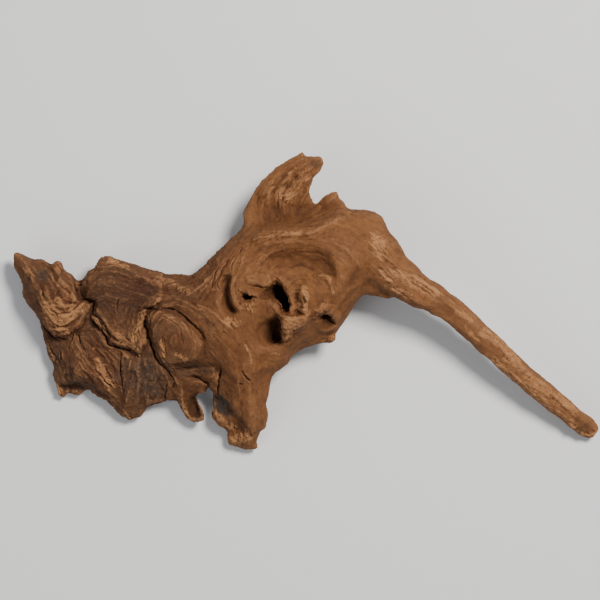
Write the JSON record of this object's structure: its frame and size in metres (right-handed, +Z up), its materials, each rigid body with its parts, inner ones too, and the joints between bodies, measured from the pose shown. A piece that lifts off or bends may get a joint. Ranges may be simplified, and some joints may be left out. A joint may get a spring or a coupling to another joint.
{
  "type": "river driftwood",
  "caption": "Piece of river driftwood: a cracked root plate, a hollowed hub with a thin fin, a short leg, and one long worn arm.",
  "frame": {"origin": "centre of the footprint, on the surface that the wood lies on", "axes": "+X towards the tip of the long arm, +Y towards the fin, +Z up from the surface"},
  "size_m": [0.4594, 0.2331, 0.0731],
  "materials": {
    "wood": "bare water-worn wood, matt, brown with paler worn grain and dark clefts"
  },
  "bodies": {
    "root": {"driftwood": "wood"}
  },
  "joints": []
}
